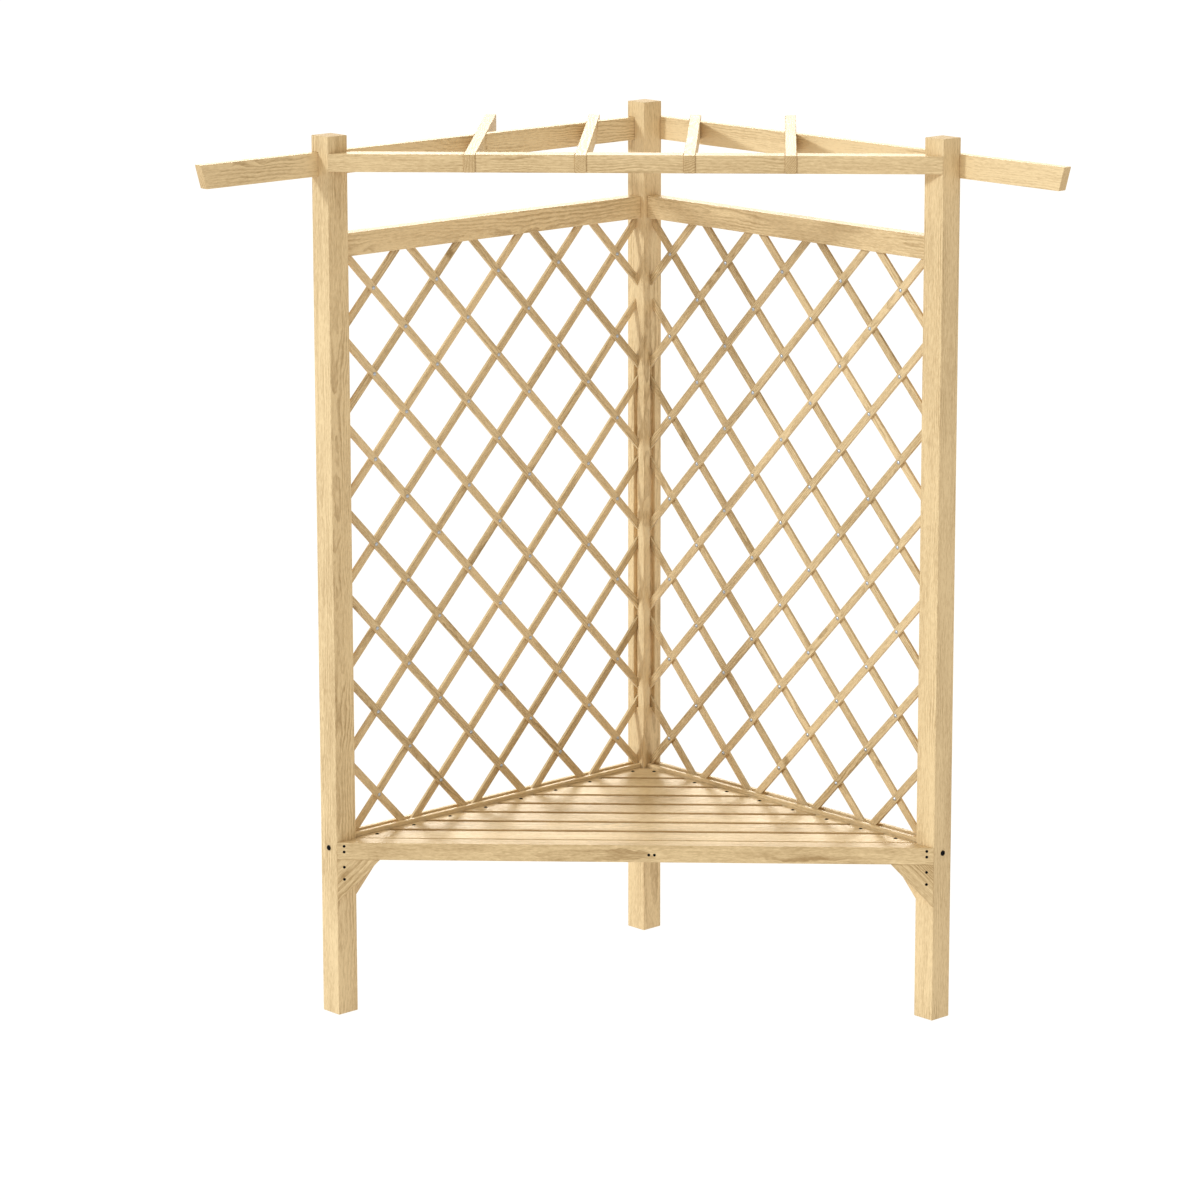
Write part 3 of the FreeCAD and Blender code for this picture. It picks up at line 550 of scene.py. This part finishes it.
class Fastener:
    """Where a fastener of a CAD node lies: its head's middle, its way in and its sizes."""

    def __init__(self, solid, head_side=None):
        points = [vert.co for vert in solid.verts]
        lengths = []
        for way in FASTENER_WAYS:
            spans = [point.dot(way) for point in points]
            lengths.append(max(spans) - min(spans))
        self.long = max(lengths)
        way = FASTENER_WAYS[lengths.index(self.long)]
        side = way.orthogonal().normalized()
        middle = Vector()
        for axis in (way, side, way.cross(side)):
            spans = [point.dot(axis) for point in points]
            middle += axis * (max(spans) + min(spans)) / 2
        offsets = [point - middle for point in points]
        reach = [(offset - way * offset.dot(way)).length for offset in offsets]
        self.head_radius = max(reach)
        if head_side is None:
            head_side = offsets[reach.index(self.head_radius)]
        self.way = way if head_side.dot(way) < 0 else -way
        self.start = middle - self.way * self.long / 2
        self.side = side

    def matrix(self):
        """From a fastener along +Z with its head's top at the origin to its place."""
        third = self.way.cross(self.side)
        turn = Matrix((self.side, third, self.way)).transposed().to_4x4()
        return Matrix.Translation(self.start) @ turn


def round_ring(height, radius):
    """A round ring of a turned piece."""
    return height, lambda turn: radius


def drive_ring(height, radius, lobes, swing):
    """A ring with lobes, for the drive of a screw."""
    return height, lambda turn: radius * (1 + swing * math.cos(lobes * turn))


def turned(solid, matrix, rings):
    """Add a closed piece to a mesh, skinned over rings of height and radius."""
    loops = []
    for height, radius in rings:
        loop = []
        for step in range(STEPS):
            turn = 2 * math.pi * step / STEPS
            reach = radius(turn)
            point = Vector((reach * math.cos(turn), reach * math.sin(turn), height))
            loop.append(solid.verts.new(matrix @ point))
        loops.append(loop)
    for one, two in zip(loops, loops[1:]):
        for step in range(STEPS):
            after = (step + 1) % STEPS
            solid.faces.new((one[step], one[after], two[after], two[step]))
    solid.faces.new(list(reversed(loops[0])))
    solid.faces.new(loops[-1])


# Screws: a plain shank with a fine tip, and a recess with six lobes in the head
SCREW_SHANK = 0.002
SCREW_TIP_SHARE = 0.1
LOBES = 6
DRIVE_SHARE = 0.5
DRIVE_DEEP = 0.0016
DRIVE_FOOT_SHARE = 0.9
DRIVE_LIP = 0.0001
LOBE_SWING = 0.16
LIP_SWING = 0.14
RIM = 0.00025

# The crown of the slat screws, and its rings as shares of the head's radius
SLAT_SCREW_CROWN = 0.002
CROWN_SHARES = (0.7, 0.8, 0.9)


def screw_rings(fastener, crown=0.0):
    """A countersunk screw with a six-lobed drive and a head that rises to a crown."""
    head = fastener.head_radius
    drive = head * DRIVE_SHARE
    lip = -crown * (1 - DRIVE_SHARE ** 2)
    neck = head - SCREW_SHANK
    point = fastener.long - 2 * SCREW_SHANK
    rings = [
        drive_ring(lip + DRIVE_DEEP, drive * DRIVE_FOOT_SHARE, LOBES, LOBE_SWING),
        drive_ring(lip + DRIVE_LIP, drive, LOBES, LOBE_SWING),
        drive_ring(lip, drive + DRIVE_LIP, LOBES, LIP_SWING),
    ]
    for share in CROWN_SHARES:
        rings.append(round_ring(-crown * (1 - share ** 2), head * share))
    rings += [
        round_ring(0, head - RIM),
        round_ring(RIM / 2, head),
        round_ring(RIM * 1.5, head),
        round_ring(neck, SCREW_SHANK),
        round_ring(point, SCREW_SHANK),
        round_ring(fastener.long, SCREW_SHANK * SCREW_TIP_SHARE),
    ]
    return rings


def raised_screw_rings(fastener):
    """The same screw with the low crown that the slats' screws have."""
    return screw_rings(fastener, SLAT_SCREW_CROWN)


# Bolts: the socket has six soft corners, and the dome rises from a flat half as wide
BOLT_SHANK = 0.003
BOLT_CHAMFER = 0.001
BOLT_HEAD_TALL = 0.003
BOLT_DOME = BOLT_HEAD_TALL * (2 / 3)
SOCKET_CORNERS = 6
SOCKET_DEEP = 0.0021
SOCKET_FOOT = 0.00205
SOCKET_TOP = 0.00215
SOCKET_RIM = 0.0023
SOCKET_LIP = 0.0001
SOCKET_SWING = 0.06
SOCKET_RIM_SWING = 0.05


def bolt_rings(fastener):
    """A bolt with a low domed head and a hexagon socket."""
    head = fastener.head_radius
    flat = head / 2
    rings = [
        drive_ring(SOCKET_DEEP, SOCKET_FOOT, SOCKET_CORNERS, SOCKET_SWING),
        drive_ring(SOCKET_LIP, SOCKET_TOP, SOCKET_CORNERS, SOCKET_SWING),
        drive_ring(0, SOCKET_RIM, SOCKET_CORNERS, SOCKET_RIM_SWING),
    ]
    for degrees in range(0, 91, 18):
        turn = math.radians(degrees)
        rings.append(round_ring(BOLT_DOME * (1 - math.cos(turn)),
                                flat + (head - flat) * math.sin(turn)))
    rings += [
        round_ring(BOLT_HEAD_TALL, head),
        round_ring(BOLT_HEAD_TALL, BOLT_SHANK),
        round_ring(fastener.long - BOLT_CHAMFER, BOLT_SHANK),
        round_ring(fastener.long, BOLT_SHANK - BOLT_CHAMFER),
    ]
    return rings


RIVET_DOME = 0.0025
RIVET_FOOT = 0.001
RIVET_SHANK = 0.0015

# The rolled, hollow end of a rivet: shares of its foot back from the end and of its head
RIVET_ROLL = ((1, 1), (0.45, 1), (0.1, 0.88), (0, 0.7), (0.15, 0.5), (0.8, 0.4))


def rivet_rings(fastener):
    """A rivet with a smooth dome and a rolled, hollow end."""
    head = fastener.head_radius
    long = fastener.long
    rings = []
    for degrees in range(10, 91, 10):
        turn = math.radians(degrees)
        rings.append(round_ring(RIVET_DOME * (1 - math.cos(turn)), head * math.sin(turn)))
    rings += [
        round_ring(RIVET_DOME, RIVET_SHANK),
        round_ring(long - RIVET_FOOT, RIVET_SHANK),
    ]
    rings += [round_ring(long - RIVET_FOOT * rise, head * wide) for rise, wide in RIVET_ROLL]
    return rings


DOWEL_CHAMFER = 0.001
FLUTES = 12
FLUTE_SWING = 0.05


def dowel_rings(fastener):
    """A fluted dowel with chamfered ends."""
    wide = fastener.head_radius
    long = fastener.long
    fluted = wide / (1 + FLUTE_SWING)
    return [
        round_ring(0, wide - DOWEL_CHAMFER),
        drive_ring(DOWEL_CHAMFER, fluted, FLUTES, FLUTE_SWING),
        drive_ring(long - DOWEL_CHAMFER, fluted, FLUTES, FLUTE_SWING),
        round_ring(long, wide - DOWEL_CHAMFER),
    ]


def fastener_piece(node, rings_of, head_side=None):
    """The piece that stands for a node of equal fasteners."""
    whole = bmesh.new()
    for solid in solids_of(node):
        fastener = Fastener(solid, head_side)
        turned(whole, fastener.matrix(), rings_of(fastener))
        solid.free()
    bmesh.ops.recalc_face_normals(whole, faces=whole.faces)
    mesh = bpy.data.meshes.new(node + "_turned")
    whole.to_mesh(mesh)
    whole.free()
    return finish_piece(mesh, node, FASTENER_SHARP)


def make_fasteners():
    for node in sorted(frame["nodes"]):
        if node == "slat_screws":
            fastener_piece(node, raised_screw_rings)
        elif node.endswith("_screws"):
            fastener_piece(node, screw_rings)
    fastener_piece("side_rail_bolts", bolt_rings)
    for side in SIDES:
        fastener_piece(side + "_trellis_rivets", rivet_rings, -OUTWARD[side])
    for node in ("panel_rail_dowels", "roof_beam_dowels"):
        fastener_piece(node, dowel_rings)


# Studio

FLOOR_HALF = 60.0
FLOOR_COLOUR = (0.07, 0.07, 0.07, 1)
FLOOR_GLOW = (1.0, 0.99, 0.97, 1)
FLOOR_GLOW_STRENGTH = 1.0
FLOOR_ROUGH = 0.9

# Each sun: the way to it, its strength, its width in degrees and its colour
SUNS = {
    "key_light": ((-0.84, -0.42, 0.34), 1.62, 8.0, (0.82, 0.91, 1.0)),
    "rim_light": ((-0.05, 0.93, 0.37), 1.25, 15.0, (1.0, 0.95, 0.84)),
    "top_light": ((0.0, 0.1, 1.0), 0.6, 60.0, (1.0, 0.96, 0.88)),
}
SKY_COLOUR = (1.0, 0.965, 0.865, 1)
SKY_STRENGTH = 0.685

CAMERA_PLACE = (0.307, -9.905, 3.166)
CAMERA_YAW = math.radians(1.81)
CAMERA_PITCH = math.radians(11.39)
CAMERA_LENS = 135.56
CAMERA_SHIFT = (-0.03, -0.10)
CAMERA_REACH = 400.0


def make_floor():
    """A wide white floor, lit in part from within so that it shows even and white."""
    mesh = bpy.data.meshes.new("studio_floor")
    corners = [(-FLOOR_HALF, -FLOOR_HALF, 0), (FLOOR_HALF, -FLOOR_HALF, 0),
               (FLOOR_HALF, FLOOR_HALF, 0), (-FLOOR_HALF, FLOOR_HALF, 0)]
    mesh.from_pydata(corners, [], [(0, 1, 2, 3)])
    made, tree, shader = new_material("studio_floor")
    shader.inputs["Base Color"].default_value = FLOOR_COLOUR
    shader.inputs["Roughness"].default_value = FLOOR_ROUGH
    shader.inputs["Specular IOR Level"].default_value = 0.0
    shader.inputs["Emission Color"].default_value = FLOOR_GLOW
    shader.inputs["Emission Strength"].default_value = FLOOR_GLOW_STRENGTH
    mesh.materials.append(made)
    floor = bpy.data.objects.new("studio_floor", mesh)
    bpy.context.scene.collection.objects.link(floor)


def make_suns():
    """The sun lights: one from the left, one from behind and a soft one from above."""
    for name, (way_to_light, strength, width_degrees, colour) in SUNS.items():
        data = bpy.data.lights.new(name, "SUN")
        data.energy = strength
        data.angle = math.radians(width_degrees)
        data.color = colour
        light = bpy.data.objects.new(name, data)
        light.rotation_euler = Vector(way_to_light).to_track_quat("Z", "Y").to_euler()
        bpy.context.scene.collection.objects.link(light)


def make_world():
    """An even pale sky."""
    world = bpy.data.worlds.new("studio")
    world.use_nodes = True
    background = world.node_tree.nodes["Background"]
    background.inputs["Color"].default_value = SKY_COLOUR
    background.inputs["Strength"].default_value = SKY_STRENGTH
    bpy.context.scene.world = world


def make_camera():
    """The photograph's view."""
    data = bpy.data.cameras.new("camera")
    data.lens = CAMERA_LENS
    data.shift_x, data.shift_y = CAMERA_SHIFT
    data.clip_end = CAMERA_REACH
    camera = bpy.data.objects.new("camera", data)
    camera.location = CAMERA_PLACE
    camera.rotation_euler = (math.radians(90) - CAMERA_PITCH, 0, CAMERA_YAW)
    bpy.context.scene.collection.objects.link(camera)
    bpy.context.scene.camera = camera


make_posts()
make_rails()
make_slats()
make_brackets()
make_laths()
make_fasteners()
make_floor()
make_suns()
make_world()
make_camera()
bpy.context.scene.view_settings.view_transform = "Standard"
